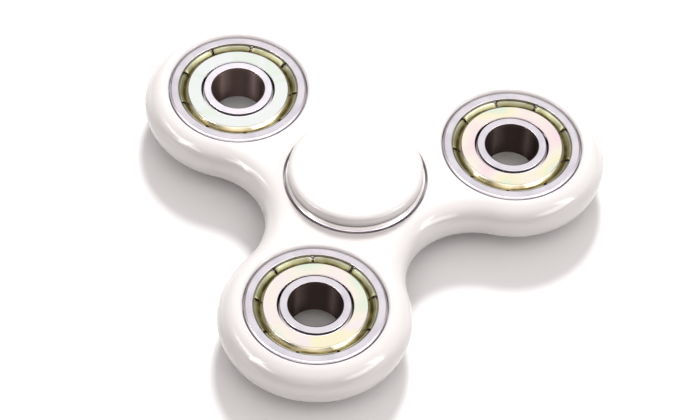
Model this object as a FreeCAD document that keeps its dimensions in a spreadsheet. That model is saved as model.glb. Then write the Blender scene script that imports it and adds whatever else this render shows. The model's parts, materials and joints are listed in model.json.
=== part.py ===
import FreeCAD, Part
import math
import os
import Sketcher
from FreeCAD import Placement, Rotation, Vector

# Fidget spinner: a three-lobed frame turns on a ball bearing that two finger caps clamp, and three
# more bearings of the same size weight its lobes. Millimetres. +Z is the spin axis, the origin is
# the centre of the bottom cap's resting face, and one lobe points along -Y.

DIMENSIONS = [
    ("lobe_distance", 26.0, "spin axis to the centre of a lobe"),
    ("lobe_radius", 15.0, "radius of a lobe's outline"),
    ("waist_radius", 11.15, "radius of the hollow between two lobes"),
    ("frame_thickness", 7.0, "frame, face to face"),
    ("frame_rounding", 3.45, "rounding of the frame's outer edges"),
    ("seat_rounding", 0.4, "rounding of the lips of the bearing seats"),
    ("cap_height", 2.5, "top of a cap above the bearing's face"),
    ("cap_gap", 0.15, "air between a cap and the frame"),
    ("cap_rim_radius", 10.95, "widest radius of a cap, at its base"),
    ("cap_wall_radius", 10.7, "radius of a cap above its bevelled base"),
    ("cap_bevel_top", 0.55, "top of a cap's bevel above the bearing's face"),
    ("cap_shoulder", 1.0, "rounding of a cap's shoulder"),
    ("spacer_radius", 5.3, "step of a cap that bears on the inner ring"),
    ("boss_end", 0.05, "end of a cap's boss from the middle plane"),
    ("pin_radius", 2.4, "pin that joins the two caps"),
    ("pin_length", 2.6, "pin beyond the middle plane"),
    ("socket_depth", 2.85, "socket for the pin beyond the middle plane"),
    ("outer_radius", 11.0, "bearing, outside"),
    ("bore_radius", 4.0, "bearing, bore"),
    ("bearing_width", 7.0, "bearing, face to face"),
    ("bore_chamfer", 0.35, "chamfer of the bore"),
    ("outer_chamfer", 0.4, "rounding of the outer ring's outside corners"),
    ("fine_rounding", 0.08, "rounding of the rings' small corners"),
    ("ball_radius", 1.9845, "ball, 5/32 inch in diameter"),
    ("pitch_radius", 7.5, "circle of the ball centres"),
    ("race_clearance", 0.03, "air between a ball and a race"),
    ("race_radius", 2.064, "radius of the raceway grooves"),
    ("inner_face_radius", 5.48, "outside of the inner ring at its faces"),
    ("inner_shoulder_radius", 6.05, "outside of the inner ring beside its race"),
    ("inner_step_height", 2.85, "step of the inner ring from the middle plane"),
    ("outer_face_radius", 9.6, "inside of the outer ring at its faces"),
    ("outer_shoulder_radius", 9.05, "inside of the outer ring beside its race"),
    ("outer_shoulder_height", 2.2, "end of that shoulder from the middle plane"),
    ("snap_radius", 9.95, "groove that holds a shield's lip"),
    ("snap_floor", 2.6, "low side of that groove from the middle plane"),
    ("snap_roof", 3.1, "high side of that groove from the middle plane"),
    ("shield_recess", 0.2, "shield's flat below the rings' faces"),
    ("shield_sheet", 0.25, "thickness of the shield's sheet"),
    ("shield_inner_radius", 5.85, "hole of the shield"),
    ("shield_flat_radius", 8.05, "outer edge of the shield's flat"),
    ("channel_inner_radius", 8.5, "inner side of the shield's channel floor"),
    ("channel_outer_radius", 8.7, "outer side of the shield's channel floor"),
    ("channel_depth", 1.0, "channel floor below the rings' faces"),
    ("wall_shift", 0.15, "underside of the channel's inner wall, inward of its top"),
    ("lip_shift", 0.1, "underside of the rolled lip, beside its top at both ends"),
    ("lip_inner_radius", 9.38, "inner side of the rolled lip's crest"),
    ("lip_outer_radius", 9.5, "outer side of the rolled lip's crest"),
    ("lip_top", 3.25, "crest of the rolled lip from the middle plane"),
    ("crest_rounding", 0.048, "rounding of the rolled lip's crest"),
    ("foot_top", 3.05, "top of the lip's foot from the middle plane"),
    ("foot_bottom", 2.75, "bottom of the lip's foot from the middle plane"),
    ("slot_width", 0.3, "slots across the rolled lip"),
    ("cage_inner_radius", 6.95, "inside of the cage ribbons"),
    ("cage_outer_radius", 8.05, "outside of the cage ribbons"),
    ("cage_sheet", 0.3, "thickness of a cage ribbon"),
    ("pocket_clearance", 0.08, "air between a ball and its pocket"),
    ("rivet_radius", 0.28, "shank of a cage rivet"),
    ("rivet_head_radius", 0.45, "head of a cage rivet"),
    ("rivet_head_height", 0.2, "height of a cage rivet's head"),
]

BALL_COUNT = 7
SLOT_COUNT = 9

# Name of each bearing, the direction of its lobe, and the turn of its top and bottom shields.
BEARINGS = [
    ("centre", None, 0.0, 20.0),
    ("left", 150.0, 11.7, 31.0),
    ("right", 30.0, 37.7, 8.0),
    ("front", -90.0, 26.6, 15.0),
]


class Size:
    """A number together with the sheet formula that gives it."""

    def __init__(self, value, formula):
        self.value = value
        self.formula = formula

    @staticmethod
    def of(number):
        if isinstance(number, Size):
            return number
        return Size(float(number), f"({float(number)})")

    def joined(self, sign, other, value):
        return Size(value, f"({self.formula} {sign} {other.formula})")

    def __add__(self, other):
        other = Size.of(other)
        return self.joined("+", other, self.value + other.value)

    def __sub__(self, other):
        other = Size.of(other)
        return self.joined("-", other, self.value - other.value)

    def __mul__(self, other):
        other = Size.of(other)
        return self.joined("*", other, self.value * other.value)

    def __truediv__(self, other):
        other = Size.of(other)
        return self.joined("/", other, self.value / other.value)

    def __neg__(self):
        return Size(-self.value, f"(-1 * {self.formula})")


class Dimensions:
    """The driving dimensions, kept in the document's spreadsheet."""

    def __init__(self, document):
        sheet = document.addObject("Spreadsheet::Sheet", "dims")
        for row, (alias, value, meaning) in enumerate(DIMENSIONS, start=1):
            sheet.set(f"A{row}", meaning)
            sheet.set(f"B{row}", str(value))
            sheet.setAlias(f"B{row}", alias)
            setattr(self, alias, Size(value, f"dims.{alias}"))
        document.recompute()


doc = FreeCAD.newDocument("fidget_spinner")
dims = Dimensions(doc)

ZERO = Size.of(0.0)
HALF = dims.bearing_width / 2.0
MIDDLE = dims.cap_height + HALF


# ---- drawing helpers ----

def spread(count, start=0.0):
    """Directions in degrees of equal steps around a circle."""
    return [start + 360.0 * index / count for index in range(count)]


def polar(radius, direction):
    """Both coordinates of a point at this radius and direction."""
    angle = math.radians(direction)
    x = Size(radius.value * math.cos(angle), f"({radius.formula} * cos({direction} deg))")
    y = Size(radius.value * math.sin(angle), f"({radius.formula} * sin({direction} deg))")
    return x, y


def new_body(label):
    body = doc.addObject("PartDesign::Body", label)
    body.Label = label
    return body


def origin_part(body, role):
    """The body's own origin plane or axis with this role."""
    return next(item for item in body.Origin.OriginFeatures if item.Role == role)


def new_sketch(body, name, plane):
    sketch = body.newObject("Sketcher::SketchObject", name)
    sketch.AttachmentSupport = (origin_part(body, plane), [""])
    sketch.MapMode = "FlatFace"
    return sketch


def pin_down(sketch, tag, geometry, corner, x, y):
    """Ties one point of a sketch to the formulas of its coordinates."""
    for letter, kind, size in (("x", "DistanceX", x), ("y", "DistanceY", y)):
        constraint = Sketcher.Constraint(kind, -1, 1, geometry, corner, size.value)
        index = sketch.addConstraint(constraint)
        sketch.renameConstraint(index, f"{tag}_{letter}")
        sketch.setExpression(f"Constraints.{tag}_{letter}", size.formula)


def set_radius(sketch, tag, geometry, radius):
    index = sketch.addConstraint(Sketcher.Constraint("Radius", geometry, radius.value))
    sketch.renameConstraint(index, tag)
    sketch.setExpression(f"Constraints.{tag}", radius.formula)


def draw_outline(sketch, points):
    """Closed outline of straight lines through the points."""
    count = len(points)
    corners = [Vector(x.value, y.value, 0) for x, y in points]
    for index in range(count):
        sketch.addGeometry(Part.LineSegment(corners[index], corners[(index + 1) % count]))
    for index in range(count):
        sketch.addConstraint(Sketcher.Constraint("Coincident", index, 2, (index + 1) % count, 1))
        pin_down(sketch, f"corner{index}", index, 1, *points[index])


def draw_circle(sketch, x, y, radius):
    circle = Part.Circle(Vector(x.value, y.value, 0), Vector(0, 0, 1), radius.value)
    index = sketch.addGeometry(circle)
    pin_down(sketch, f"centre{index}", index, 3, x, y)
    set_radius(sketch, f"radius{index}", index, radius)


# ---- feature helpers ----

def add_feature(body, kind, name, **settings):
    """Adds a PartDesign feature; a Size is bound by its formula, anything else is set."""
    feature = body.newObject(f"PartDesign::{kind}", name)
    for key, value in settings.items():
        if isinstance(value, Size):
            feature.setExpression(key, value.formula)
        else:
            setattr(feature, key, value)
    body.Tip = feature
    return feature


def revolve(body, name, points):
    """Solid of revolution about Z of an outline given as (radius, height) points."""
    sketch = new_sketch(body, f"{name}_profile", "XZ_Plane")
    draw_outline(sketch, points)
    return add_feature(body, "Revolution", name, Profile=sketch, Angle=360.0,
                       ReferenceAxis=(sketch, ["V_Axis"]))


def turn_groove(body, name, radius, height, groove_radius):
    """Round groove turned about Z, such as a raceway."""
    sketch = new_sketch(body, f"{name}_section", "XZ_Plane")
    draw_circle(sketch, radius, height, groove_radius)
    return add_feature(body, "Groove", name, Profile=sketch, Angle=360.0,
                       ReferenceAxis=(sketch, ["V_Axis"]))


def cut_through(body, name, sketch):
    """Pocket through everything on both sides of its sketch."""
    return add_feature(body, "Pocket", name, Profile=sketch, Type="ThroughAll",
                       SideType="Symmetric")


def repeat_around(body, name, feature, count):
    return add_feature(body, "PolarPattern", name, Originals=[feature], Angle=360.0,
                       Occurrences=count, Axis=(origin_part(body, "Z_Axis"), [""]))


def ring_edges(feature, rings):
    """Names of the feature's circular edges that lie at any of these (radius, height) places."""
    doc.recompute()
    tolerance = 1e-4
    names = []
    for index, edge in enumerate(feature.Shape.Edges, start=1):
        if not isinstance(edge.Curve, Part.Circle):
            continue
        radius = edge.Curve.Radius
        height = edge.Curve.Center.z
        for ring_radius, ring_height in rings:
            same_radius = abs(radius - ring_radius.value) < tolerance
            if same_radius and abs(height - ring_height.value) < tolerance:
                names.append(f"Edge{index}")
    if not names:
        raise ValueError(f"{feature.Label} has no such edges")
    return names


def both_sides(radius, height):
    return [(radius, height), (radius, -height)]


def fillet_rings(body, name, rings, radius):
    base = body.Tip
    edges = ring_edges(base, rings)
    return add_feature(body, "Fillet", name, Base=(base, edges), Radius=radius)


def chamfer_rings(body, name, rings, size):
    base = body.Tip
    edges = ring_edges(base, rings)
    return add_feature(body, "Chamfer", name, Base=(base, edges), Size=size)


def place(item, x, y, turn=0.0, flipped=False):
    """Moves a sub-part to the middle plane at x, y, turned about Z and perhaps upside down."""
    rotation = Rotation(Vector(0, 0, 1), turn)
    if flipped:
        rotation = rotation * Rotation(Vector(1, 0, 0), 180.0)
    item.Placement = Placement(Vector(x.value, y.value, MIDDLE.value), rotation)
    for letter, size in (("x", x), ("y", y), ("z", MIDDLE)):
        item.setExpression(f"Placement.Base.{letter}", size.formula)
    return item


# ---- frame ----

def draw_lobed_outline(sketch):
    """Three lobe arcs joined tangentially by three hollow waist arcs."""
    directions = [bearing[1] for bearing in BEARINGS if bearing[1] is not None]
    directions.sort()
    reach = dims.lobe_radius.value + dims.waist_radius.value
    half_step = 180.0 / len(directions)
    along = dims.lobe_distance.value * math.cos(math.radians(half_step))
    across = dims.lobe_distance.value * math.sin(math.radians(half_step))
    waist_distance = along + math.sqrt(reach ** 2 - across ** 2)

    def spot(distance, direction):
        angle = math.radians(direction)
        return Vector(distance * math.cos(angle), distance * math.sin(angle), 0)

    def add_arc(centre, radius, start, end):
        circle = Part.Circle(centre, Vector(0, 0, 1), radius)
        first = circle.parameter(start)
        last = circle.parameter(end)
        return sketch.addGeometry(Part.ArcOfCircle(circle, first, last))

    lobes = [spot(dims.lobe_distance.value, direction) for direction in directions]
    waists = [spot(waist_distance, direction + half_step) for direction in directions]
    share = dims.lobe_radius.value / reach
    count = len(lobes)
    lobe_arcs = []
    waist_arcs = []
    for index in range(count):
        before = lobes[index] + (waists[index - 1] - lobes[index]) * share
        after = lobes[index] + (waists[index] - lobes[index]) * share
        following = lobes[(index + 1) % count]
        next_touch = following + (waists[index] - following) * share
        lobe_arcs.append(add_arc(lobes[index], dims.lobe_radius.value, before, after))
        waist_arcs.append(add_arc(waists[index], dims.waist_radius.value, next_touch, after))
    for index, direction in enumerate(directions):
        pin_down(sketch, f"lobe{index}", lobe_arcs[index], 3, *polar(dims.lobe_distance, direction))
        set_radius(sketch, f"lobe_radius{index}", lobe_arcs[index], dims.lobe_radius)
        set_radius(sketch, f"waist_radius{index}", waist_arcs[index], dims.waist_radius)
        next_lobe = lobe_arcs[(index + 1) % count]
        for lobe, end in ((lobe_arcs[index], 2), (next_lobe, 1)):
            sketch.addConstraint(Sketcher.Constraint("Tangent", lobe, end, waist_arcs[index], end))


def build_frame():
    body = new_body("spinner_frame")
    outline = new_sketch(body, "frame_outline", "XY_Plane")
    draw_lobed_outline(outline)
    blank = add_feature(body, "Pad", "frame_blank", Profile=outline, SideType="Symmetric",
                        Length=dims.frame_thickness)
    doc.recompute()
    rims = [f"Edge{index}" for index, edge in enumerate(blank.Shape.Edges, start=1)
            if isinstance(edge.Curve, Part.Circle)]
    add_feature(body, "Fillet", "frame_round", Base=(blank, rims), Radius=dims.frame_rounding)
    seats = new_sketch(body, "bearing_seats", "XY_Plane")
    for _, direction, _, _ in BEARINGS:
        x, y = bearing_centre(direction)
        draw_circle(seats, x, y, dims.outer_radius)
    cut_through(body, "seat_holes", seats)
    lips = both_sides(dims.outer_radius, dims.frame_thickness / 2.0)
    fillet_rings(body, "seat_lips", lips, dims.seat_rounding)
    return place(body, ZERO, ZERO)


# ---- finger caps ----

def build_cap(label, tail, flipped):
    """Cap with a bevelled base, a step on the inner ring and a boss that fills its bore."""
    body = new_body(label)
    top = HALF + dims.cap_height
    underside = HALF + dims.cap_gap
    bevel_top = HALF + dims.cap_bevel_top
    bevel_height = dims.cap_rim_radius - dims.cap_wall_radius
    revolve(body, f"{label}_turned", [
        (ZERO, top),
        (dims.cap_wall_radius, top),
        (dims.cap_wall_radius, bevel_top),
        (dims.cap_rim_radius, bevel_top - bevel_height),
        (dims.cap_rim_radius, underside),
        (dims.spacer_radius, underside),
        (dims.spacer_radius, HALF),
        (dims.bore_radius, HALF),
        (dims.bore_radius, dims.boss_end),
        *tail,
    ])
    fillet_rings(body, f"{label}_shoulder", [(dims.cap_wall_radius, top)], dims.cap_shoulder)
    return place(body, ZERO, ZERO, flipped=flipped)


def build_caps():
    pin = [(dims.pin_radius, dims.boss_end), (dims.pin_radius, -dims.pin_length),
           (ZERO, -dims.pin_length)]
    socket = [(dims.pin_radius, dims.boss_end), (dims.pin_radius, dims.socket_depth),
              (ZERO, dims.socket_depth)]
    return [build_cap("cap_top", pin, False), build_cap("cap_bottom", socket, True)]


# ---- bearing pieces, each made about its own middle ----

def bearing_centre(direction):
    if direction is None:
        return ZERO, ZERO
    return polar(dims.lobe_distance, direction)


def build_outer_ring(label):
    """Ring with a raceway, and beside each face a groove that holds a shield's lip."""
    body = new_body(label)
    seat_radius = (dims.outer_shoulder_radius + dims.outer_face_radius) / 2.0
    half_section = [
        (dims.outer_shoulder_radius, dims.outer_shoulder_height),
        (seat_radius, dims.snap_floor),
        (dims.snap_radius, dims.snap_floor),
        (dims.snap_radius, dims.snap_roof),
        (dims.outer_face_radius, dims.snap_roof),
        (dims.outer_face_radius, HALF),
        (dims.outer_radius, HALF),
    ]
    mirrored = [(radius, -height) for radius, height in reversed(half_section)]
    revolve(body, f"{label}_turned", half_section + mirrored)
    race_floor = dims.pitch_radius + dims.ball_radius + dims.race_clearance
    turn_groove(body, f"{label}_race", race_floor - dims.race_radius, ZERO, dims.race_radius)
    fillet_rings(body, f"{label}_corners", both_sides(dims.outer_radius, HALF), dims.outer_chamfer)
    fillet_rings(body, f"{label}_edges", both_sides(dims.outer_face_radius, HALF), dims.fine_rounding)
    return body


def build_inner_ring(label):
    """Ring with a raceway, a chamfered bore and a step under each shield's hole."""
    body = new_body(label)
    step_top = dims.inner_step_height
    step_rise = (dims.inner_shoulder_radius - dims.inner_face_radius) / 2.0
    half_section = [
        (dims.inner_shoulder_radius, step_top - step_rise),
        (dims.inner_face_radius, step_top),
        (dims.inner_face_radius, HALF),
        (dims.bore_radius, HALF),
    ]
    mirrored = [(radius, -height) for radius, height in reversed(half_section)]
    revolve(body, f"{label}_turned", half_section + mirrored)
    race_floor = dims.pitch_radius - dims.ball_radius - dims.race_clearance
    turn_groove(body, f"{label}_race", race_floor + dims.race_radius, ZERO, dims.race_radius)
    chamfer_rings(body, f"{label}_mouths", both_sides(dims.bore_radius, HALF), dims.bore_chamfer)
    fillet_rings(body, f"{label}_edges", both_sides(dims.inner_face_radius, HALF), dims.fine_rounding)
    return body


def build_shield(label):
    """Pressed disc whose slotted lip is rolled up out of a channel and into the outer ring."""
    body = new_body(label)
    flat_top = HALF - dims.shield_recess
    flat_under = flat_top - dims.shield_sheet
    floor_top = HALF - dims.channel_depth
    floor_under = floor_top - dims.shield_sheet
    revolve(body, f"{label}_pressed", [
        (dims.shield_inner_radius, flat_top),
        (dims.shield_flat_radius, flat_top),
        (dims.channel_inner_radius, floor_top),
        (dims.channel_outer_radius, floor_top),
        (dims.lip_inner_radius, dims.lip_top),
        (dims.lip_outer_radius, dims.lip_top),
        (dims.lip_outer_radius, dims.foot_top),
        (dims.snap_radius, dims.foot_top),
        (dims.snap_radius, dims.foot_bottom),
        (dims.lip_inner_radius - dims.lip_shift, dims.foot_bottom),
        (dims.channel_outer_radius + dims.lip_shift, floor_under),
        (dims.channel_inner_radius - dims.wall_shift, floor_under),
        (dims.shield_flat_radius - dims.wall_shift, flat_under),
        (dims.shield_inner_radius, flat_under),
    ])
    fillet_rings(body, f"{label}_bend", [(dims.shield_flat_radius, flat_top)], dims.shield_sheet)
    crest = [(dims.lip_inner_radius, dims.lip_top), (dims.lip_outer_radius, dims.lip_top)]
    fillet_rings(body, f"{label}_crest", crest, dims.crest_rounding)
    sketch = new_sketch(body, f"{label}_slot_outline", "XY_Plane")
    side = dims.slot_width / 2.0
    draw_outline(sketch, [
        (dims.channel_outer_radius, -side),
        (dims.outer_radius, -side),
        (dims.outer_radius, side),
        (dims.channel_outer_radius, side),
    ])
    slot = cut_through(body, f"{label}_slot", sketch)
    repeat_around(body, f"{label}_slots", slot, SLOT_COUNT)
    return body


def build_cage_half(label):
    """Ribbon above the middle plane, humped over each ball. The first ball is on +X."""
    body = new_body(label)
    pocket_radius = dims.ball_radius + dims.pocket_clearance
    hump_radius = pocket_radius + dims.cage_sheet
    blank = new_sketch(body, f"{label}_blank_outline", "XY_Plane")
    draw_circle(blank, ZERO, ZERO, dims.outer_radius)
    add_feature(body, "Pad", f"{label}_blank", Profile=blank, Length=dims.cage_sheet)

    hump = new_sketch(body, f"{label}_hump_outline", "YZ_Plane")
    draw_circle(hump, ZERO, ZERO, hump_radius)
    humps = add_feature(body, "Pad", f"{label}_hump", Profile=hump, Length=dims.outer_radius)
    repeat_around(body, f"{label}_humps", humps, BALL_COUNT)

    pocket = new_sketch(body, f"{label}_pocket_outline", "YZ_Plane")
    draw_circle(pocket, ZERO, ZERO, pocket_radius)
    pockets = add_feature(body, "Pocket", f"{label}_pocket", Profile=pocket, Reversed=True,
                          Length=dims.outer_radius * 2.0)
    repeat_around(body, f"{label}_pockets", pockets, BALL_COUNT)

    trim = new_sketch(body, f"{label}_trim_outline", "XY_Plane")
    draw_circle(trim, ZERO, ZERO, dims.cage_outer_radius)
    draw_circle(trim, ZERO, ZERO, dims.outer_radius * 2.0)
    cut_through(body, f"{label}_outside", trim)
    hole = new_sketch(body, f"{label}_hole_outline", "XY_Plane")
    draw_circle(hole, ZERO, ZERO, dims.cage_inner_radius)
    cut_through(body, f"{label}_inside", hole)

    lower = new_sketch(body, f"{label}_split_outline", "XY_Plane")
    draw_circle(lower, ZERO, ZERO, dims.outer_radius)
    add_feature(body, "Pocket", f"{label}_split", Profile=lower, Length=dims.bearing_width)

    rivet = new_sketch(body, f"{label}_rivet_outline", "XY_Plane")
    draw_circle(rivet, *polar(dims.pitch_radius, 180.0 / BALL_COUNT), dims.rivet_radius)
    rivet_hole = cut_through(body, f"{label}_rivet_hole", rivet)
    repeat_around(body, f"{label}_rivet_holes", rivet_hole, BALL_COUNT)
    return body


def build_rivets(label):
    """Seven headed rivets between the balls, as separate solids."""
    body = new_body(label)
    body.AllowCompound = True
    sketch = new_sketch(body, f"{label}_profile", "XZ_Plane")
    sketch.AttachmentOffset = Placement(Vector(dims.pitch_radius.value, 0, 0), Rotation())
    sketch.setExpression("AttachmentOffset.Base.x", dims.pitch_radius.formula)
    head_top = dims.cage_sheet + dims.rivet_head_height
    half_section = [
        (dims.rivet_radius, dims.cage_sheet),
        (dims.rivet_head_radius, dims.cage_sheet),
        (dims.rivet_head_radius, head_top),
        (ZERO, head_top),
    ]
    mirrored = [(radius, -height) for radius, height in reversed(half_section)]
    draw_outline(sketch, half_section + mirrored)
    rivet = add_feature(body, "Revolution", f"{label}_one", Profile=sketch, Angle=360.0,
                        ReferenceAxis=(sketch, ["V_Axis"]))
    repeat_around(body, f"{label}_all", rivet, BALL_COUNT)
    return body


def build_ball(label):
    ball = doc.addObject("Part::Sphere", label)
    ball.Label = label
    ball.setExpression("Radius", dims.ball_radius.formula)
    return ball


def build_bearing(name, direction, top_turn, bottom_turn):
    """All the pieces of one bearing, placed at its lobe or on the spin axis."""
    x, y = bearing_centre(direction)
    rivet_turn = 180.0 / BALL_COUNT
    pieces = [
        place(build_outer_ring(f"{name}_outer_ring"), x, y),
        place(build_inner_ring(f"{name}_inner_ring"), x, y),
        place(build_shield(f"{name}_shield_top"), x, y, turn=top_turn),
        place(build_shield(f"{name}_shield_bottom"), x, y, turn=bottom_turn, flipped=True),
        place(build_cage_half(f"{name}_cage_upper"), x, y),
        place(build_cage_half(f"{name}_cage_lower"), x, y, flipped=True),
        place(build_rivets(f"{name}_cage_rivets"), x, y, turn=rivet_turn),
    ]
    for number, ball_direction in enumerate(spread(BALL_COUNT), start=1):
        ball_x, ball_y = polar(dims.pitch_radius, ball_direction)
        ball = build_ball(f"{name}_ball_{number}")
        pieces.append(place(ball, x + ball_x, y + ball_y))
    return pieces


# ---- the whole spinner ----

def check_document(pieces):
    """Stops if any object failed, or any piece isn't a valid solid."""
    for item in doc.Objects:
        if "Invalid" in item.State or "Error" in item.State:
            raise RuntimeError(f"{item.Label} failed: {item.State}")
    for piece in pieces:
        if piece.Shape.isNull() or not piece.Shape.isValid() or not piece.Shape.Solids:
            raise RuntimeError(f"{piece.Label} has no valid solid")


def write_steps(pieces):
    os.makedirs("parts", exist_ok=True)
    for piece in pieces:
        piece.Shape.exportStep(f"parts/{piece.Label}.step")
        solids = len(piece.Shape.Solids)
        print(f"{piece.Label}: {solids} solid(s), {piece.Shape.Volume:.2f} mm3")


def main():
    pieces = [build_frame(), *build_caps()]
    for bearing in BEARINGS:
        pieces.extend(build_bearing(*bearing))
    doc.recompute()
    check_document(pieces)
    write_steps(pieces)


main()
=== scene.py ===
import json
import math

import bmesh
import bpy
from mathutils import Matrix, Vector


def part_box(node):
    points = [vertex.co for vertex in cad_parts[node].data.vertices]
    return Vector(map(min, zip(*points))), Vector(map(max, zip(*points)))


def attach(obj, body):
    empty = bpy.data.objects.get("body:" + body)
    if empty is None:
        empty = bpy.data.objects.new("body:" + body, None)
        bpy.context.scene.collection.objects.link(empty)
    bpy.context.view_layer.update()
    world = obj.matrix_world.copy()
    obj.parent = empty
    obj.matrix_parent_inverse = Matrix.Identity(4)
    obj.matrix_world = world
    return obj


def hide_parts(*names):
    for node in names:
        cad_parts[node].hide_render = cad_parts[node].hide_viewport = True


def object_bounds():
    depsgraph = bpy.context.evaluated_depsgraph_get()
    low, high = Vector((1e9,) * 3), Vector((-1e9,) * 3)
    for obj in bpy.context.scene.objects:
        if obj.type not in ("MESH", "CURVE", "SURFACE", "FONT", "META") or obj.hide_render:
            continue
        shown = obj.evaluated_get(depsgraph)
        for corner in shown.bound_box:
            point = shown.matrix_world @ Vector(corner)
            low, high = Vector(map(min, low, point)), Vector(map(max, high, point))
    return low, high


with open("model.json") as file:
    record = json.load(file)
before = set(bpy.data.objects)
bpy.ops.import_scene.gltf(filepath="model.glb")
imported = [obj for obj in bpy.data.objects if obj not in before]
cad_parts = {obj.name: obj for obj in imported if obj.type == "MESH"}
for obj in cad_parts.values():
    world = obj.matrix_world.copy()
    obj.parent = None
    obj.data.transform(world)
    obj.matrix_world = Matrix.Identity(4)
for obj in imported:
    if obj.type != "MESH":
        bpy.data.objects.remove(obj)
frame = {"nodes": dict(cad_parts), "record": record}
cad_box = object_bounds()

# The looks of a three-lobed fidget spinner. The spinner's and the camera's lengths are millimetres,
# the lights' and the floor's are metres. Sections are (radius, height), with the height from the
# middle plane. Angles are degrees, and azimuths run counterclockwise from +X.

MM = 0.001


# ---- what the frame gives ----

def box_mm(node):
    low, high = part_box(node)
    return low / MM, high / MM


def centre_mm(node):
    low, high = box_mm(node)
    return (low + high) / 2


BEARINGS = ("centre", "left", "right", "front")
OPEN_BEARINGS = BEARINGS[1:]

ring_low, ring_high = box_mm("front_outer_ring")
frame_high = box_mm("spinner_frame")[1]
cap_high = box_mm("cap_top")[1]

MIDDLE_PLANE = centre_mm("spinner_frame").z
HALF = (ring_high.z - ring_low.z) / 2
OUTER_RADIUS = (ring_high.x - ring_low.x) / 2
LOBE_DISTANCE = centre_mm("front_outer_ring").xy.length
LOBE_RADIUS = frame_high.x - centre_mm("right_outer_ring").x
CAP_TOP = cap_high.z - MIDDLE_PLANE
CAP_RIM_RADIUS = cap_high.x
BORE_RADIUS = next(mount["dims"]["r_mm"] for mount in frame["record"]["mounts"]
                   if mount["kind"] == "bore")


# ---- sizes that the frame doesn't state ----

# The frame: the waists between its lobes, its rounded side, and the seats of the bearings.
WAIST_RADIUS = 11.15
FRAME_ROUNDING = 3.45
SEAT_ROUNDING = 0.5
SEAT_GAP = 0.18
CENTRE_SEAT_ROUNDING = 0.12
CENTRE_SEAT_GAP = 0.38
SEAT_GAP_DEPTH = 1.2

# The caps: a pad on a bevelled base, a spacer on the inner ring, and a boss with a pin or a socket.
CAP_GAP = 0.15
CAP_WALL_RADIUS = 10.7
CAP_BEVEL_TOP = 0.6
CAP_BEVEL_BASE = 0.22
CAP_SHOULDER = 1.0
CAP_EDGE = 0.05
CAP_CREASE = 0.24
SPACER_RADIUS = 5.3
BOSS_END = 0.05
PIN_RADIUS = 2.4
PIN_LENGTH = 2.6
SOCKET_DEPTH = 2.85

# The rings: their races for the balls, their shoulders and the snap groove that holds a shield.
BORE_CHAMFER = 0.35
BORE_FINISH_MARGIN = 0.02
OUTER_CHAMFER = 0.4
FINE_ROUNDING = 0.08
BALL_RADIUS = 1.9845
PITCH_RADIUS = 7.5
RACE_CLEARANCE = 0.03
RACE_RADIUS = 2.064
INNER_FACE_RADIUS = 5.48
INNER_SHOULDER_RADIUS = 6.05
INNER_STEP_HEIGHT = 2.85
OUTER_FACE_RADIUS = 9.6
OUTER_SHOULDER_RADIUS = 9.05
OUTER_SHOULDER_HEIGHT = 2.2
SNAP_RADIUS = 9.95
SNAP_FLOOR = 2.6
SNAP_ROOF = 3.1

# The shields: a flat with a hole, a channel, and a rolled lip that slots part into segments.
SHIELD_RECESS = 0.2
SHIELD_SHEET = 0.25
SHIELD_HOLE_RADIUS = 5.93
SHIELD_HOLE_EDGE = 0.06
SHIELD_FLAT_RADIUS = 8.05
CHANNEL_INNER_RADIUS = 8.6
CHANNEL_OUTER_RADIUS = 8.7
CHANNEL_DEPTH = 0.88
LIP_INNER_RADIUS = 9.26
LIP_OUTER_RADIUS = 9.37
LIP_TOP = 3.25
FOOT_TOP = 3.05
FOOT_BOTTOM = 2.75
BEND_ROUNDING = 0.3
BEND_ROUNDING_UNDER = 0.08
CHANNEL_ROUNDING = 0.12
CHANNEL_ROUNDING_UNDER = 0.2
LIP_ROUNDING = 0.05
LIP_ROUNDING_UNDER = 0.03
WALL_SHIFT = 0.15
LIP_SHIFT = 0.1
SLOT_COUNT = 9
SLOT_WIDTH = 0.42
SLOT_CORNER = 0.45
SLOT_CORNER_DROP = 0.2
SLOT_ROOT_MARGIN = 0.01
PRESS_MEAN = -0.02
PRESS_SPREAD = 0.025
CANT_SPREAD = 0.02
SHIELD_TOP = HALF - SHIELD_RECESS
CHANNEL_FLOOR = HALF - CHANNEL_DEPTH

# The meshes' steps.
TURN_STEPS = 144
LOBE_STEPS = 120
WAIST_STEPS = 56
SIDE_STEPS = 16
MOUTH_STEPS = 8
RACE_STEPS = 20
CORNER_STEPS = 5
SEGMENT_STEPS = 16
SHARP_ANGLE = 40.0


# ---- sections ----

def arc(centre, radius, start, end, steps):
    """Points of an arc, from one angle to another, both ends included."""
    points = []
    for step in range(steps + 1):
        angle = math.radians(start + (end - start) * step / steps)
        points.append((centre[0] + radius * math.cos(angle), centre[1] + radius * math.sin(angle)))
    return points


def corner_arc(before, corner, after, rounding):
    """Points of a tangent arc of this radius that cuts off a corner."""
    toward_before = (before - corner).normalized()
    toward_after = (after - corner).normalized()
    half_angle = toward_before.angle(toward_after) / 2
    middle = corner + (toward_before + toward_after).normalized() * rounding / math.sin(half_angle)
    first = corner + toward_before * rounding / math.tan(half_angle) - middle
    last = corner + toward_after * rounding / math.tan(half_angle) - middle
    sweep = math.atan2(first.x * last.y - first.y * last.x, first.dot(last))
    points = []
    for step in range(CORNER_STEPS + 1):
        turn = Matrix.Rotation(sweep * step / CORNER_STEPS, 2)
        points.append(tuple(middle + turn @ first))
    return points


def rounded(corners):
    """Outline through corners given as (radius, height) or (radius, height, rounding)."""
    places = [Vector(corner[:2]) for corner in corners]
    points = []
    for index, corner in enumerate(corners):
        if len(corner) == 2:
            points.append(corner)
            continue
        after = places[(index + 1) % len(corners)]
        points.extend(corner_arc(places[index - 1], places[index], after, corner[2]))
    return points


def mirrored(section):
    """The same section below the middle plane, in the other order, so that the two make a loop."""
    return [(corner[0], -corner[1], *corner[2:]) for corner in reversed(section)]


# ---- meshes ----

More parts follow.
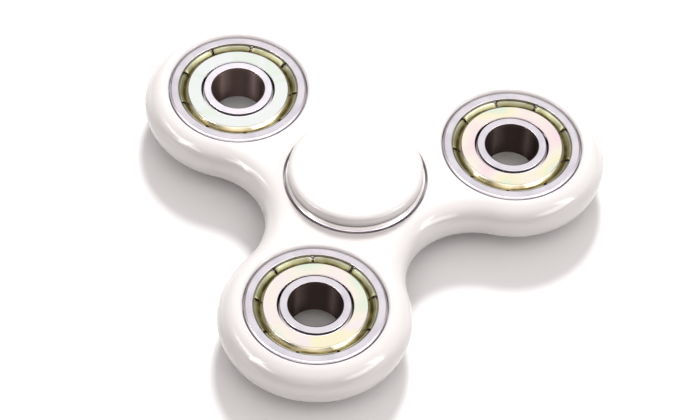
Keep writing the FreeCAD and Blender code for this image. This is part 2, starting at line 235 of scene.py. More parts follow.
def turned(section, bore_limit=0.0):
    """Solid of revolution of a closed section. Points on the axis become poles. Faces that lie
    wholly within the bore's limit, a radius, take the second material."""
    bm = bmesh.new()
    angles = [2 * math.pi * step / TURN_STEPS for step in range(TURN_STEPS)]
    rows = []
    for radius, height in section:
        if radius == 0:
            rows.append([bm.verts.new((0, 0, height))] * TURN_STEPS)
        else:
            rows.append([bm.verts.new((radius * math.cos(angle), radius * math.sin(angle), height))
                         for angle in angles])
    join_rows(bm, rows + rows[:1])
    for face in bm.faces:
        if all(vertex.co.xy.length < bore_limit for vertex in face.verts):
            face.material_index = 1
    return bm


def join_rows(bm, rows):
    """Faces between neighbouring closed rows of vertices."""
    for lower, upper in zip(rows, rows[1:]):
        count = len(lower)
        for index in range(count):
            ahead = (index + 1) % count
            corners = (lower[index], lower[ahead], upper[ahead], upper[index])
            unique = list(dict.fromkeys(corners))
            if len(unique) > 2:
                bm.faces.new(unique)


def add_piece(bm, node, body, materials, axis_of=None, turn=0.0, flipped=False):
    """Makes a mesh piece that stands for a CAD node, built about its own or another node's axis."""
    bmesh.ops.recalc_face_normals(bm, faces=bm.faces)
    bm.transform(Matrix.Scale(MM, 4))
    mesh = bpy.data.meshes.new(f"{node}_looks")
    bm.to_mesh(mesh)
    bm.free()
    mesh.shade_smooth()
    mesh.set_sharp_from_angle(angle=math.radians(SHARP_ANGLE))
    for finish in materials:
        mesh.materials.append(finish)
    piece = bpy.data.objects.new(f"{node}_looks", mesh)
    bpy.context.scene.collection.objects.link(piece)
    middle = centre_mm(axis_of or node)
    place = Matrix.Translation(Vector((middle.x, middle.y, MIDDLE_PLANE)) * MM)
    rotation = Matrix.Rotation(math.radians(turn), 4, "Z")
    if flipped:
        rotation = rotation @ Matrix.Rotation(math.pi, 4, "X")
    piece.matrix_world = place @ rotation
    normals = piece.modifiers.new("even_normals", "WEIGHTED_NORMAL")
    normals.keep_sharp = True
    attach(piece, body)
    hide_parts(node)


# ---- shader nodes ----

def new_material(name, settings):
    """A new material, its node tree and its shader's inputs. The settings are inputs by name."""
    material = bpy.data.materials.new(name)
    material.use_nodes = True
    tree = material.node_tree
    shader = tree.nodes["Principled BSDF"].inputs
    for socket, value in settings.items():
        shader[socket].default_value = value
    return material, tree, shader


def add_node(tree, kind, sockets=(), **settings):
    """Adds a node. Each socket, by name or number, is linked to another socket or set to a value."""
    node = tree.nodes.new(f"ShaderNode{kind}")
    for name, value in settings.items():
        setattr(node, name, value)
    for name, value in dict(sockets).items():
        if isinstance(value, bpy.types.NodeSocket):
            tree.links.new(value, node.inputs[name])
        else:
            node.inputs[name].default_value = value
    return node


def maths(tree, operation, *values):
    return add_node(tree, "Math", enumerate(values), operation=operation).outputs["Value"]


def vector_maths(tree, operation, *values):
    """A vector, or a number if the operation is one that gives a number."""
    node = add_node(tree, "VectorMath", enumerate(values), operation=operation)
    gives_number = operation in ("LENGTH", "DOT_PRODUCT")
    return node.outputs["Value" if gives_number else "Vector"]


def scaled(tree, colour, gain):
    node = add_node(tree, "VectorMath", {0: colour, "Scale": gain}, operation="SCALE")
    return node.outputs["Vector"]


def mixed(tree, factor, first, second):
    """The first colour where the factor is 0, and the second where it is 1."""
    node = add_node(tree, "Mix", {"Factor": factor, 6: first, 7: second}, data_type="RGBA")
    return node.outputs[2]


def ramp(tree, factor, stops):
    """Colours by a factor, from stops of (position, colour)."""
    node = add_node(tree, "ValToRGB", {"Fac": factor})
    elements = node.color_ramp.elements
    while len(elements) < len(stops):
        elements.new(0.5)
    for element, (position, colour) in zip(elements, stops):
        element.position = position
        element.color = (*colour, 1)
    return node.outputs["Color"]


def spread(tree, value, low, high, start=0.0, end=1.0, smooth=False):
    """Maps a value's range from start to end onto low to high."""
    node = add_node(tree, "MapRange", {"Value": value, "From Min": start, "From Max": end,
                                       "To Min": low, "To Max": high})
    node.interpolation_type = "SMOOTHSTEP" if smooth else "LINEAR"
    return node.outputs["Result"]


def in_millimetres(tree):
    """A piece's own coordinates in millimetres, about its axis and middle plane."""
    place = add_node(tree, "TexCoord").outputs["Object"]
    return vector_maths(tree, "MULTIPLY", place, (1 / MM,) * 3)


def distance_from_axis(tree, place):
    return vector_maths(tree, "LENGTH", vector_maths(tree, "MULTIPLY", place, (1.0, 1.0, 0.0)))


def height_of(tree, place):
    return add_node(tree, "SeparateXYZ", {0: place}).outputs["Z"]


def noise(tree, place, scale, detail=2.0, roughness=0.5):
    """Noise of about 1/scale millimetres across."""
    node = add_node(tree, "TexNoise", {"Vector": place, "Scale": scale, "Detail": detail,
                                       "Roughness": roughness})
    return node.outputs["Fac"]


def turning_marks(tree, place, pitch):
    """Fine concentric lines, as left by a lathe or a grinding wheel."""
    line = add_node(tree, "CombineXYZ", {0: distance_from_axis(tree, place), 1: height_of(tree, place)})
    return noise(tree, line.outputs["Vector"], 1.0 / pitch, detail=3.0, roughness=0.6)


def bumps(tree, shader, height, depth):
    """Bump whose height from 0 to 1 is this many millimetres deep."""
    node = add_node(tree, "Bump", {"Height": height, "Distance": depth * MM, "Strength": 1.0})
    tree.links.new(node.outputs["Normal"], shader["Normal"])


# Parts of a noise's range: nearly all of its values lie in the wide one, and most in the narrow one.
WIDE = (0.3, 0.7)
NARROW = (0.35, 0.65)


def two_tone(tree, factor, dark, light):
    return ramp(tree, factor, list(zip(NARROW, (dark, light))))


def shaded(shade, gain):
    return tuple(channel * gain for channel in shade)


# ---- materials ----

PLASTIC_WHITE = (0.615, 0.598, 0.592)
PLASTIC_GLOSS = {"IOR": 1.5, "Coat Weight": 0.15, "Coat Roughness": 0.08}
PLASTIC_ROUGHNESS = (0.12, 0.22)
TONE_SCALE = 0.07
TONE_CHANGE = 0.015
PEEL_SCALE = 2.2
PEEL_DEPTH = 0.003
SINK_SCALE = 0.16
SINK_DEPTH_IN_PEELS = 6.0


def plastic(name, painted_light_by_height=()):
    """Glossy moulded plastic: faintly uneven in tone and gloss, with orange peel and soft sinks. Stops of
    (height, gain) may also paint light and shade into its tone by height: a gain above 1 is a painted
    highlight, and one below 1 is painted shade."""
    material, tree, shader = new_material(name, PLASTIC_GLOSS)
    place = in_millimetres(tree)
    peel = noise(tree, place, PEEL_SCALE, detail=3.0)
    tone = two_tone(tree, noise(tree, place, TONE_SCALE), shaded(PLASTIC_WHITE, 1 - TONE_CHANGE),
                    shaded(PLASTIC_WHITE, 1 + TONE_CHANGE))
    # Painted light and shade by height: the stops' gains scale the tone.
    if painted_light_by_height:
        lowest, highest = painted_light_by_height[0][0], painted_light_by_height[-1][0]
        stops = [((height - lowest) / (highest - lowest), (gain,) * 3) for height, gain in painted_light_by_height]
        painted_light_and_shade_height = spread(tree, height_of(tree, place), 0.0, 1.0, lowest, highest)
        tone = vector_maths(tree, "MULTIPLY", tone, ramp(tree, painted_light_and_shade_height, stops))
    tree.links.new(tone, shader["Base Color"])
    tree.links.new(spread(tree, peel, *PLASTIC_ROUGHNESS, *WIDE), shader["Roughness"])
    sinks = spread(tree, noise(tree, place, SINK_SCALE), 0.0, SINK_DEPTH_IN_PEELS)
    bumps(tree, shader, maths(tree, "ADD", peel, sinks), PEEL_DEPTH)
    return material


METAL = {"Metallic": 1.0}
RING_SHADES = [(0.35, (0.72, 0.69, 0.75)), (0.55, (0.8, 0.77, 0.82)), (0.7, (0.84, 0.79, 0.82))]
RING_PATCH_SCALE = 0.35
RING_ROUGHNESS = (0.2, 0.34)
RING_MARK_PITCH = 0.05
RING_MARK_DEPTH = 0.0012


def ring_steel(name, gain=1.0):
    """Hardened steel with ground faces, lighter by this gain: a gain above 1 makes a lighter copy, which
    is painted light.
    """
    material, tree, shader = new_material(name, METAL)
    place = in_millimetres(tree)
    marks = turning_marks(tree, place, RING_MARK_PITCH)
    face = ramp(tree, noise(tree, place, RING_PATCH_SCALE, detail=3.0), RING_SHADES)
    tree.links.new(scaled(tree, face, gain), shader["Base Color"])
    tree.links.new(spread(tree, marks, *RING_ROUGHNESS, *NARROW), shader["Roughness"])
    bumps(tree, shader, marks, RING_MARK_DEPTH)
    return material


GROOVED_METAL = {**METAL, "Anisotropic": 1.0, "Anisotropic Rotation": 0.25}
BORE_PAINTED_SHADES = ((0.045, 0.031, 0.028), (0.07, 0.05, 0.046))
BORE_ROUGHNESS = (0.52, 0.6)
BORE_MARK_PITCH = 0.08


def bore_steel(name, gain=1.0):
    """Steel darkened with painted shade. A gain above 1 makes a lighter copy, which is painted light. Its
    fine grooves run round it, so they draw highlights out along the axis."""
    material, tree, shader = new_material(name, GROOVED_METAL)
    marks = turning_marks(tree, in_millimetres(tree), BORE_MARK_PITCH)
    tree.links.new(scaled(tree, two_tone(tree, marks, *BORE_PAINTED_SHADES), gain), shader["Base Color"])
    tree.links.new(spread(tree, marks, *BORE_ROUGHNESS, *NARROW), shader["Roughness"])
    around = add_node(tree, "Tangent", direction_type="RADIAL", axis="Z").outputs["Tangent"]
    tree.links.new(around, shader["Tangent"])
    return material


FILM_SCALE = 0.12
FILM_DETAIL = 0.8
FILM_START = 0.34
FILM_STEP = 0.08
SHADE_EDGE_SCALE = 0.5
SHADE_EDGE_REACH = 0.15
# Colours by height in the channel: the coat's own colours, with painted shade low down. The lip's lighter
# top is a painted highlight.
WALL_COAT_AND_PAINTED_SHADE = [(0.0, (0.2, 0.14, 0.06)), (0.25, (0.62, 0.54, 0.3)), (0.9, (0.95, 0.92, 0.72))]
LIP_COAT_AND_PAINTED_LIGHT = [(0.0, (0.06, 0.05, 0.022)), (0.3, (0.24, 0.23, 0.12)), (0.7, (0.33, 0.33, 0.22)),
              (0.95, (0.52, 0.53, 0.42))]
BEND_BLEND = 0.1
# Painted shade along the bend at the flat's edge: its darkest gain, and the half-widths of its core and
# of the whole line.
BEND_LINE_GAIN = 0.45
BEND_LINE_CORE = 0.02
BEND_LINE = 0.09
SHEET_GRAIN_SCALE = 6.0
SHEET_GRAIN_DEPTH = 0.002
SHEET_ROUGHNESS = (0.18, 0.3)
CHANNEL_ROUGHNESS_CHANGE = -0.06
LIP_ROUGHNESS_CHANGE = 0.26


def shield_zinc(name, film_place, film):
    """Pressed sheet with a thin passivated coat: iridescent on the flat, gold on the channel's inner
    wall, and olive on the lip. Painted shade darkens it low in the channel, with an uneven edge, and the
    lip's lighter top is a painted highlight. A line of painted shade runs along the bend at the flat's
    edge."""
    material, tree, shader = new_material(name, METAL)
    place = in_millimetres(tree)
    radius = distance_from_axis(tree, place)
    moved = vector_maths(tree, "ADD", place, film_place)
    film_stops = [(FILM_START + FILM_STEP * index, shade) for index, shade in enumerate(film)]
    flat = ramp(tree, noise(tree, moved, FILM_SCALE, detail=FILM_DETAIL), film_stops)

    # Noise that makes the painted shade's edge uneven.
    shade_edge_noise = spread(tree, noise(tree, moved, SHADE_EDGE_SCALE, detail=3.0), -SHADE_EDGE_REACH, SHADE_EDGE_REACH, *WIDE)
    painted_light_and_shade_height = spread(tree, height_of(tree, place), 0.0, 1.0, CHANNEL_FLOOR, SHIELD_TOP)
    painted_light_and_shade_height = maths(tree, "ADD", painted_light_and_shade_height, shade_edge_noise)
    in_channel = spread(tree, radius, 0.0, 1.0, SHIELD_FLAT_RADIUS - BEND_BLEND,
                        SHIELD_FLAT_RADIUS + BEND_BLEND)
    on_lip = spread(tree, radius, 0.0, 1.0, CHANNEL_INNER_RADIUS, CHANNEL_OUTER_RADIUS)
    # Painted shade low in the channel, and a painted highlight on the lip's top, by height.
    colour = mixed(tree, in_channel, flat, ramp(tree, painted_light_and_shade_height, WALL_COAT_AND_PAINTED_SHADE))
    colour = mixed(tree, on_lip, colour, ramp(tree, painted_light_and_shade_height, LIP_COAT_AND_PAINTED_LIGHT))

    # Painted shade: a dark line along the bend at the flat's edge.
    from_bend = maths(tree, "ABSOLUTE", maths(tree, "SUBTRACT", radius, SHIELD_FLAT_RADIUS))
    bend_painted_shade = spread(tree, from_bend, BEND_LINE_GAIN, 1.0, BEND_LINE_CORE, BEND_LINE, smooth=True)
    tree.links.new(scaled(tree, colour, bend_painted_shade), shader["Base Color"])

    grain = noise(tree, place, SHEET_GRAIN_SCALE, detail=4.0, roughness=0.6)
    rough = spread(tree, grain, *SHEET_ROUGHNESS, *WIDE)
    rough = maths(tree, "ADD", rough, spread(tree, on_lip, 0.0, LIP_ROUGHNESS_CHANGE))
    rough = maths(tree, "ADD", rough, spread(tree, in_channel, 0.0, CHANNEL_ROUGHNESS_CHANGE))
    tree.links.new(rough, shader["Roughness"])
    bumps(tree, shader, grain, SHEET_GRAIN_DEPTH)
    return material


PLAIN_GRAIN_SCALE = 1.5
PLAIN_GRAIN_DEPTH = 0.001
PLAIN_TONE_GAIN = 1.1
PLAIN_ROUGHNESS_GAINS = (0.8, 1.3)


def plain_steel(name, shade, rough):
    """Steel of the hidden pieces: balls, cages and rivets."""
    material, tree, shader = new_material(name, METAL)
    grain = noise(tree, in_millimetres(tree), PLAIN_GRAIN_SCALE, detail=4.0, roughness=0.6)
    tree.links.new(two_tone(tree, grain, shade, shaded(shade, PLAIN_TONE_GAIN)), shader["Base Color"])
    smoothest, roughest = (rough * gain for gain in PLAIN_ROUGHNESS_GAINS)
    tree.links.new(spread(tree, grain, smoothest, roughest, *WIDE), shader["Roughness"])
    bumps(tree, shader, grain, PLAIN_GRAIN_DEPTH)
    return material


# ---- frame ----

def lobed_loop(inset):
    """The frame's outline, moved inward: the lobes' arcs get smaller and the waists' larger."""
    middles = [centre_mm(f"{name}_outer_ring") for name in OPEN_BEARINGS]
    directions = sorted(math.degrees(math.atan2(middle.y, middle.x)) for middle in middles)
    half_step = 180.0 / len(directions)
    across = LOBE_DISTANCE * math.sin(math.radians(half_step))
    rise = math.sqrt((LOBE_RADIUS + WAIST_RADIUS) ** 2 - across ** 2)
    waist_distance = LOBE_DISTANCE * math.cos(math.radians(half_step)) + rise
    half_waist = math.degrees(math.atan2(across, rise))
    half_lobe = half_waist + half_step
    points = []
    for direction in directions:
        angle = math.radians(direction)
        lobe = (LOBE_DISTANCE * math.cos(angle), LOBE_DISTANCE * math.sin(angle))
        angle = math.radians(direction + half_step)
        waist = (waist_distance * math.cos(angle), waist_distance * math.sin(angle))
        inward = direction + half_step + 180.0
        points += arc(lobe, LOBE_RADIUS - inset, direction - half_lobe, direction + half_lobe,
                      LOBE_STEPS)[:-1]
        points += arc(waist, WAIST_RADIUS + inset, inward + half_waist, inward - half_waist,
                      WAIST_STEPS)[:-1]
    return points


def new_row(bm, points, height):
    return [bm.verts.new((x, y, height)) for x, y in points]


def loop_edges(bm, row):
    return [bm.edges.get((row[index - 1], row[index])) for index in range(len(row))]


def seat_section(gap, rounding):
    """Side of a bearing's seat, from the top face to the bottom one: a rounded mouth, then a narrow
    gap round the ring."""
    mouth = OUTER_RADIUS + gap
    upper = arc((mouth + rounding, HALF - rounding), rounding, 90.0, 180.0, MOUTH_STEPS)
    upper += [(mouth, HALF - SEAT_GAP_DEPTH), (OUTER_RADIUS, HALF - SEAT_GAP_DEPTH - gap)]
    return upper + mirrored(upper)


def frame_mesh():
    """Rounded outside, seats with rounded mouths, and flat faces between them."""
    bm = bmesh.new()
    quarter = arc((0.0, HALF - FRAME_ROUNDING), FRAME_ROUNDING, 0.0, 90.0, SIDE_STEPS)
    upper = [(FRAME_ROUNDING - reach, height) for reach, height in quarter]
    shell = [new_row(bm, lobed_loop(inset), height) for inset, height in mirrored(upper) + upper]
    join_rows(bm, shell)
    edges_top = loop_edges(bm, shell[-1])
    edges_bottom = loop_edges(bm, shell[0])
    for name in BEARINGS:
        middle = centre_mm(f"{name}_outer_ring")
        if name == "centre":
            section = seat_section(CENTRE_SEAT_GAP, CENTRE_SEAT_ROUNDING)
        else:
            section = seat_section(SEAT_GAP, SEAT_ROUNDING)
        seat = [new_row(bm, arc(middle.xy, radius, 0.0, 360.0, TURN_STEPS)[:-1], height)
                for radius, height in section]
        join_rows(bm, seat)
        edges_top += loop_edges(bm, seat[0])
        edges_bottom += loop_edges(bm, seat[-1])
    for edges in (edges_top, edges_bottom):
        bmesh.ops.triangle_fill(bm, edges=edges, use_beauty=True, normal=(0, 0, 1))
    return bm


# ---- finger caps ----

def cap_section(tail):
    """Round pad with a bevelled base, a step on the inner ring and a boss in its bore."""
    bevel_top = HALF + CAP_BEVEL_TOP
    underside = HALF + CAP_GAP
    return rounded([
        (0, CAP_TOP),
        (CAP_WALL_RADIUS, CAP_TOP, CAP_SHOULDER),
        (CAP_WALL_RADIUS, bevel_top + CAP_CREASE, CAP_EDGE),
        (CAP_WALL_RADIUS - CAP_CREASE, bevel_top, CAP_EDGE),
        (CAP_RIM_RADIUS, HALF + CAP_BEVEL_BASE, CAP_EDGE / 2),
        (CAP_RIM_RADIUS, underside, CAP_EDGE),
        (SPACER_RADIUS, underside),
        (SPACER_RADIUS, HALF),
        (BORE_RADIUS, HALF),
        (BORE_RADIUS, BOSS_END),
        *tail,
    ])


def add_caps(material):
    pin = [(PIN_RADIUS, BOSS_END), (PIN_RADIUS, -PIN_LENGTH), (0, -PIN_LENGTH)]
    socket = [(PIN_RADIUS, BOSS_END), (PIN_RADIUS, SOCKET_DEPTH), (0, SOCKET_DEPTH)]
    add_piece(turned(cap_section(pin)), "cap_top", "hub", [material])
    add_piece(turned(cap_section(socket)), "cap_bottom", "hub", [material], flipped=True)


# ---- bearings ----

def outer_ring_section():
    race_floor = PITCH_RADIUS + BALL_RADIUS + RACE_CLEARANCE
    race_centre = race_floor - RACE_RADIUS
    race_edge = math.degrees(math.acos((OUTER_SHOULDER_RADIUS - race_centre) / RACE_RADIUS))
    seat_radius = (OUTER_SHOULDER_RADIUS + OUTER_FACE_RADIUS) / 2
    upper = [
        (OUTER_SHOULDER_RADIUS, OUTER_SHOULDER_HEIGHT),
        (seat_radius, SNAP_FLOOR),
        (SNAP_RADIUS, SNAP_FLOOR),
        (SNAP_RADIUS, SNAP_ROOF),
        (OUTER_FACE_RADIUS, SNAP_ROOF),
        (OUTER_FACE_RADIUS, HALF, FINE_ROUNDING),
        (OUTER_RADIUS, HALF, OUTER_CHAMFER),
    ]
    race = arc((race_centre, 0.0), RACE_RADIUS, -race_edge, race_edge, RACE_STEPS)
    return rounded(race + upper + mirrored(upper))


def inner_ring_section():
    race_floor = PITCH_RADIUS - BALL_RADIUS - RACE_CLEARANCE
    race_centre = race_floor + RACE_RADIUS
    race_edge = math.degrees(math.acos((race_centre - INNER_SHOULDER_RADIUS) / RACE_RADIUS))
    step_rise = (INNER_SHOULDER_RADIUS - INNER_FACE_RADIUS) / 2
    upper = [
        (INNER_SHOULDER_RADIUS, INNER_STEP_HEIGHT - step_rise, FINE_ROUNDING),
        (INNER_FACE_RADIUS, INNER_STEP_HEIGHT),
        (INNER_FACE_RADIUS, HALF, FINE_ROUNDING),
        (BORE_RADIUS + BORE_CHAMFER, HALF, FINE_ROUNDING),
        (BORE_RADIUS, HALF - BORE_CHAMFER, FINE_ROUNDING),
    ]
    race = arc((race_centre, 0.0), RACE_RADIUS, 180.0 + race_edge, 180.0 - race_edge, RACE_STEPS)
    return rounded(race + upper + mirrored(upper))


def shield_sections():
    """Matching points of the sheet's upper and lower side, from the hole out to the lip's foot."""
    under = SHIELD_TOP - SHIELD_SHEET
    floor_under = CHANNEL_FLOOR - SHIELD_SHEET
    channel_middle = (CHANNEL_INNER_RADIUS + CHANNEL_OUTER_RADIUS) / 2
    upper = rounded([
        (SHIELD_HOLE_RADIUS, SHIELD_TOP),
        (SHIELD_HOLE_RADIUS + SHIELD_HOLE_EDGE, SHIELD_TOP),
        (SHIELD_FLAT_RADIUS, SHIELD_TOP, BEND_ROUNDING),
        (CHANNEL_INNER_RADIUS, CHANNEL_FLOOR, CHANNEL_ROUNDING),
        (channel_middle, CHANNEL_FLOOR),
        (CHANNEL_OUTER_RADIUS, CHANNEL_FLOOR, CHANNEL_ROUNDING),
        (LIP_INNER_RADIUS, LIP_TOP, LIP_ROUNDING),
        (LIP_OUTER_RADIUS, LIP_TOP, LIP_ROUNDING),
        (LIP_OUTER_RADIUS, FOOT_TOP),
        (SNAP_RADIUS, FOOT_TOP),
    ])
    lower = rounded([
        (SHIELD_HOLE_RADIUS, under),
        (SHIELD_HOLE_RADIUS + SHIELD_HOLE_EDGE, under),
        (SHIELD_FLAT_RADIUS - WALL_SHIFT, under, BEND_ROUNDING_UNDER),
        (CHANNEL_INNER_RADIUS - WALL_SHIFT, floor_under, CHANNEL_ROUNDING_UNDER),
        (channel_middle, floor_under),
        (CHANNEL_OUTER_RADIUS + LIP_SHIFT, floor_under, CHANNEL_ROUNDING_UNDER),
        (LIP_INNER_RADIUS - LIP_SHIFT, FOOT_BOTTOM + LIP_SHIFT, LIP_ROUNDING_UNDER),
        (LIP_OUTER_RADIUS - LIP_SHIFT, FOOT_BOTTOM, LIP_ROUNDING_UNDER),
        (LIP_OUTER_RADIUS, FOOT_BOTTOM),
        (SNAP_RADIUS, FOOT_BOTTOM),
    ])
    return upper, lower


# Steps by the seed and by the segment, and a start, of a sine that stands for chance.
PRESS_WAVE = (12.9, 4.1, 0.0)
CANT_WAVE = (7.3, 2.7, 1.0)


def uneven(wave, seed, index):
    """A number from -1 to 1, always the same for the same seed and index."""
    by_seed, by_index, start = wave
    return math.sin(seed * by_seed + index * by_index + start)


def shield_spokes(seed):
    """Lines of points across a shield, as (azimuth, place along its lip segment from -1 to 1, how far
    the lip is pressed there). The segments are pressed and canted unevenly."""
    segment = 360.0 / SLOT_COUNT
    slot_half = math.degrees(SLOT_WIDTH / 2 / LIP_INNER_RADIUS)
    spokes = []
    for index in range(SLOT_COUNT):
        press = PRESS_MEAN + PRESS_SPREAD * uneven(PRESS_WAVE, seed, index)
        cant = CANT_SPREAD * uneven(CANT_WAVE, seed, index)
        start = index * segment + slot_half
        width = segment - 2 * slot_half
        for step in range(SEGMENT_STEPS + 1):
            along = -math.cos(math.pi * step / SEGMENT_STEPS)
            spokes.append((start + width * (along + 1) / 2, along, press + cant * along))
    return spokes


def shield_row(bm, spokes, radius, height):
    """Vertices round a shield. Out on the lip they follow its pressing, and drop beside the slots."""
    segment_half = math.radians(180.0 / SLOT_COUNT) * LIP_INNER_RADIUS
    outward = (radius - CHANNEL_OUTER_RADIUS) / (LIP_INNER_RADIUS - CHANNEL_OUTER_RADIUS)
    outward = min(max(outward, 0.0), 1.0)
    row = []
    for azimuth, along, press in spokes:
        from_end = (1 - abs(along)) * segment_half
        drop = max(0.0, 1 - from_end / SLOT_CORNER) ** 2 * SLOT_CORNER_DROP
        angle = math.radians(azimuth)
        reach = radius - outward * abs(press) / 2
        row.append(bm.verts.new((reach * math.cos(angle), reach * math.sin(angle),
                                 height + outward * (press - drop))))
    return row


def shield_mesh(seed):
    """One sheet: a disc with a channel, and a rolled lip that slots part into separate segments. Each
    strip between two neighbouring rows is solid, or cut by the slots if it lies on the lip."""
    bm = bmesh.new()
    spokes = shield_spokes(seed)
    upper, lower = shield_sections()
    top = [shield_row(bm, spokes, *point) for point in upper]
    under = [shield_row(bm, spokes, *point) for point in lower]
    slot_root = CHANNEL_OUTER_RADIUS - SLOT_ROOT_MARGIN
    strips = [[along < 1 or radius < slot_root for azimuth, along, press in spokes]
              for radius, height in upper[:-1]]
    nothing = [False] * len(spokes)

    for index, strip in enumerate(strips):
        inner_top, outer_top = top[index:index + 2]
        inner_under, outer_under = under[index:index + 2]
        strip_inside = strips[index - 1] if index > 0 else nothing
        strip_outside = strips[index + 1] if index + 1 < len(strips) else nothing
        for here, solid in enumerate(strip):
            if not solid:
                continue
            ahead = (here + 1) % len(strip)
            bm.faces.new((inner_top[here], outer_top[here], outer_top[ahead], inner_top[ahead]))
            bm.faces.new((inner_under[here], inner_under[ahead], outer_under[ahead], outer_under[here]))
            if not strip_inside[here]:
                bm.faces.new((inner_top[here], inner_top[ahead], inner_under[ahead], inner_under[here]))
            if not strip_outside[here]:
                bm.faces.new((outer_top[here], outer_under[here], outer_under[ahead], outer_top[ahead]))
            if not strip[here - 1]:
                bm.faces.new((inner_top[here], inner_under[here], outer_under[here], outer_top[here]))
            if not strip[ahead]:
                bm.faces.new((inner_top[ahead], outer_top[ahead], outer_under[ahead], inner_under[ahead]))
    loose = [vertex for vertex in bm.verts if not vertex.link_faces]
    bmesh.ops.delete(bm, geom=loose, context="VERTS")
    return bm


BOTTOM_SEED_STEP = 0.5


def add_bearing(name, seed, steel, inner_finishes, zinc, top_turn, bottom_turn):
    inner_body = "hub" if name == "centre" else f"{name}_inner"
    # Faces in the bore take the steel darkened with painted shade.
    bore_limit = BORE_RADIUS + BORE_CHAMFER - BORE_FINISH_MARGIN
    add_piece(turned(outer_ring_section()), f"{name}_outer_ring", "frame", [steel])
    add_piece(turned(inner_ring_section(), bore_limit), f"{name}_inner_ring", inner_body,
              inner_finishes)
    add_piece(shield_mesh(seed), f"{name}_shield_top", "frame", [zinc], turn=top_turn)
    add_piece(shield_mesh(seed + BOTTOM_SEED_STEP), f"{name}_shield_bottom", "frame", [zinc],
              turn=bottom_turn, flipped=True)


# ---- stage ----

CAMERA_AZIMUTH = 11.0
CAMERA_ELEVATION = 51.2
CAMERA_ROLL = 3.25
CAMERA_DISTANCE = 490.0
CAMERA_PAN = (-0.84, -5.235)
CAMERA_CLIP_M = 0.01
LENS_MM = 160.12
SENSOR_MM = 36.0


def from_angles(azimuth, elevation):
    """Unit vector of a direction."""
    around = math.radians(azimuth)
    up = math.radians(elevation)
    return Vector((math.cos(around) * math.cos(up), math.sin(around) * math.cos(up), math.sin(up)))


def add_camera():
    data = bpy.data.cameras.new("camera")
    data.lens = LENS_MM
    data.sensor_width = SENSOR_MM
    data.clip_start = CAMERA_CLIP_M
    camera = bpy.data.objects.new("camera", data)
    bpy.context.scene.collection.objects.link(camera)
    back = from_angles(CAMERA_AZIMUTH - 90.0, CAMERA_ELEVATION)
    level = from_angles(CAMERA_AZIMUTH, 0.0)
    upright = back.cross(level)
    roll = math.radians(CAMERA_ROLL)
    right = level * math.cos(roll) + upright * math.sin(roll)
    up = upright * math.cos(roll) - level * math.sin(roll)
    target = Vector((0.0, 0.0, ring_high.z))
    place = target + back * CAMERA_DISTANCE + right * CAMERA_PAN[0] + up * CAMERA_PAN[1]
    turn = Matrix((right, up, back)).transposed().to_4x4()
    camera.matrix_world = Matrix.Translation(place * MM) @ turn
    bpy.context.scene.camera = camera


FLOOR_HALF_SIDE = 3.0
FLOOR_FINISH = {"Base Color": (0.76, 0.76, 0.76, 1), "Roughness": 0.6, "Specular IOR Level": 0.1}


def add_floor():
    """Plain pale floor under the spinner."""
    bm = bmesh.new()
    bmesh.ops.create_grid(bm, x_segments=1, y_segments=1, size=FLOOR_HALF_SIDE)
    mesh = bpy.data.meshes.new("floor")
    bm.to_mesh(mesh)
    bm.free()
    mesh.materials.append(new_material("floor", FLOOR_FINISH)[0])
    floor = bpy.data.objects.new("floor", mesh)
    bpy.context.scene.collection.objects.link(floor)
    floor.location.z = cad_box[0].z


# Soft cards of the studio, as (azimuth, elevation, colour). Each is brightest in its own direction
# and fades to nothing CARD_REACH degrees away, over a dark room.
RIGHT = CAMERA_AZIMUTH
BEHIND = CAMERA_AZIMUTH + 90.0
LEFT = CAMERA_AZIMUTH + 180.0
FRONT = CAMERA_AZIMUTH + 270.0
ROOM = (0.06, 0.045, 0.042)
CARD_REACH = 42.0
CARDS = [
    (FRONT, 58.0, (1.95, 1.84, 1.82)),
    (LEFT, 52.0, (0.55, 0.53, 0.525)),
    (RIGHT, 52.0, (0.9, 0.87, 0.865)),
    (BEHIND, 48.0, (0.97, 0.96, 0.97)),
    (LEFT, 10.0, (0.2, 0.19, 0.19)),
    (RIGHT, 10.0, (1.0, 0.98, 0.97)),
]


def add_world():
    world = bpy.data.worlds.new("studio")
    world.use_nodes = True
    bpy.context.scene.world = world
    tree = world.node_tree
    direction = add_node(tree, "TexCoord").outputs["Generated"]
    edge = math.cos(math.radians(CARD_REACH))
    colour = ROOM
    for azimuth, elevation, shade in CARDS:
        facing = vector_maths(tree, "DOT_PRODUCT", direction, from_angles(azimuth, elevation))
        inside = spread(tree, facing, 0.0, 1.0, edge, 1.0, smooth=True)
        colour = vector_maths(tree, "MULTIPLY_ADD", inside, shade, colour)
    background = tree.nodes["Background"].inputs
    tree.links.new(colour, background["Color"])
    background["Strength"].default_value = 1.0


LIGHT_DISTANCE = 0.9


def add_light(name, azimuth, elevation, size, watts):
    """Elliptical lamp of this width and height that faces the spinner."""
    data = bpy.data.lights.new(name, "AREA")
    data.shape = "ELLIPSE"
    data.size, data.size_y = size
    data.energy = watts
    light = bpy.data.objects.new(name, data)
    bpy.context.scene.collection.objects.link(light)
    toward = from_angles(azimuth, elevation)
    light.location = toward * LIGHT_DISTANCE
    light.rotation_euler = toward.to_track_quat("Z", "Y").to_euler()
    return light


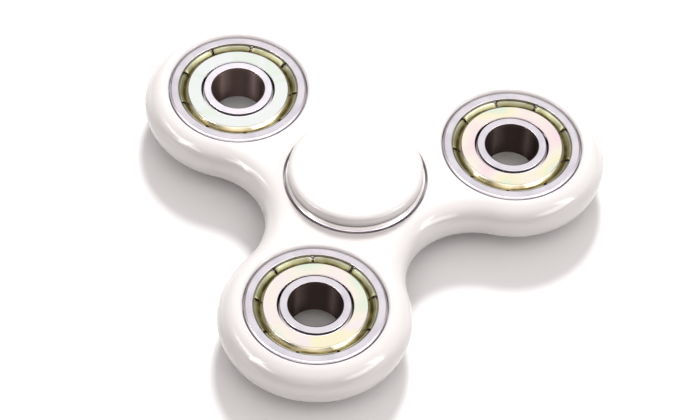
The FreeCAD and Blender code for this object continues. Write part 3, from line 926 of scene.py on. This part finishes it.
def add_lights():
    """A softbox behind the spinner gives the shade, and shows in no reflection. The other lamps show
    in reflections only: the windows and sills on the sides, and the strips in the bores."""
    softbox = add_light("softbox", azimuth=99.0, elevation=45.0, size=(0.2, 0.2), watts=9.3)
    softbox.visible_glossy = False
    for reflected in (
        add_light("left_window", azimuth=208.0, elevation=41.0, size=(0.85, 0.16), watts=2.2),
        add_light("right_window", azimuth=-24.0, elevation=33.0, size=(0.6, 0.28), watts=2.2),
        add_light("left_strip", azimuth=213.0, elevation=40.0, size=(0.1, 0.5), watts=1.6),
        add_light("right_strip", azimuth=-1.0, elevation=40.0, size=(0.1, 0.5), watts=1.6),
        add_light("left_sill", azimuth=214.0, elevation=5.0, size=(0.6, 0.2), watts=0.5),
        add_light("right_sill", azimuth=-18.0, elevation=5.0, size=(0.7, 0.2), watts=0.5),
    ):
        reflected.visible_diffuse = False


# ---- the whole spinner ----

# The caps' painted light by height, as (height, gain): a painted highlight on the bevel, then painted
# shade in the crease that fades upward.
BEVEL_HEIGHT = HALF + CAP_BEVEL_TOP
CREASE_HEIGHT = BEVEL_HEIGHT + CAP_CREASE
CAP_PAINTED_LIGHT_AND_SHADE = [
    (HALF + CAP_GAP, 1.45),
    (BEVEL_HEIGHT - 0.15, 1.5),
    (BEVEL_HEIGHT - 0.04, 0.35),
    (CREASE_HEIGHT, 0.45),
    (CREASE_HEIGHT + 0.3, 0.85),
    (CREASE_HEIGHT + 0.8, 1.0),
]
white = plastic("white_plastic")
painted_light_cap_white = plastic("cap_plastic", CAP_PAINTED_LIGHT_AND_SHADE)
add_piece(frame_mesh(), "spinner_frame", "frame", [white], axis_of="cap_top")
add_caps(painted_light_cap_white)

CYAN = (0.7, 0.86, 0.92)
GREEN = (0.8, 0.9, 0.74)
CREAM = (0.97, 0.91, 0.8)
YELLOW = (0.97, 0.92, 0.66)
PINK = (0.96, 0.78, 0.82)
MIST = (0.9, 0.94, 0.92)
PALE_GREEN = (0.83, 0.92, 0.82)
BLUSH = (0.96, 0.87, 0.88)

# Each bearing's film, as its place in the noise and its colours, then the turns of its top and
# bottom shields. The photograph shows the top ones' turns, except the centre's.
SHIELDS = {
    "centre": ((3.0, 1.0, 0.0), (CYAN, CREAM, PINK, MIST, GREEN), (0.0, 20.0)),
    "left": ((7.0, 2.0, 0.0), (MIST, PALE_GREEN, MIST, PALE_GREEN, MIST), (11.7, 31.0)),
    "right": ((1.0, 9.0, 0.0), (GREEN, YELLOW, CREAM, PINK, BLUSH), (37.7, 8.0)),
    "front": ((14.0, 8.0, 0.0), (CYAN, GREEN, CREAM, BLUSH, YELLOW), (26.6, 15.0)),
}

# Painted light: the left weight's inner ring is a lighter copy of the others' steel, by these gains on
# its face and in its bore.
LEFT_RING_PAINTED_LIGHT_GAIN = 1.22
LEFT_BORE_PAINTED_LIGHT_GAIN = 2.2

steel = ring_steel("ring_steel")
plain_inner = (steel, bore_steel("bore_steel"))
# Copies of the steel with painted light, for the left weight's inner ring.
painted_light_inner = (ring_steel("bright_ring_steel", LEFT_RING_PAINTED_LIGHT_GAIN),
               bore_steel("bright_bore_steel", LEFT_BORE_PAINTED_LIGHT_GAIN))
for seed, name in enumerate(BEARINGS, start=1):
    film_place, film, turns = SHIELDS[name]
    zinc = shield_zinc(f"shield_zinc_{name}", film_place, film)
    add_bearing(name, seed, steel, painted_light_inner if name == "left" else plain_inner, zinc, *turns)

ball_steel = plain_steel("ball_steel", shade=(0.72, 0.72, 0.74), rough=0.06)
cage_steel = plain_steel("cage_steel", shade=(0.5, 0.48, 0.46), rough=0.35)
for node, piece in frame["nodes"].items():
    for part, finish in (("_ball_", ball_steel), ("_cage_", cage_steel)):
        if part in node:
            piece.data.materials.clear()
            piece.data.materials.append(finish)

add_camera()
add_floor()
add_world()
add_lights()
bpy.context.scene.view_settings.view_transform = "Standard"
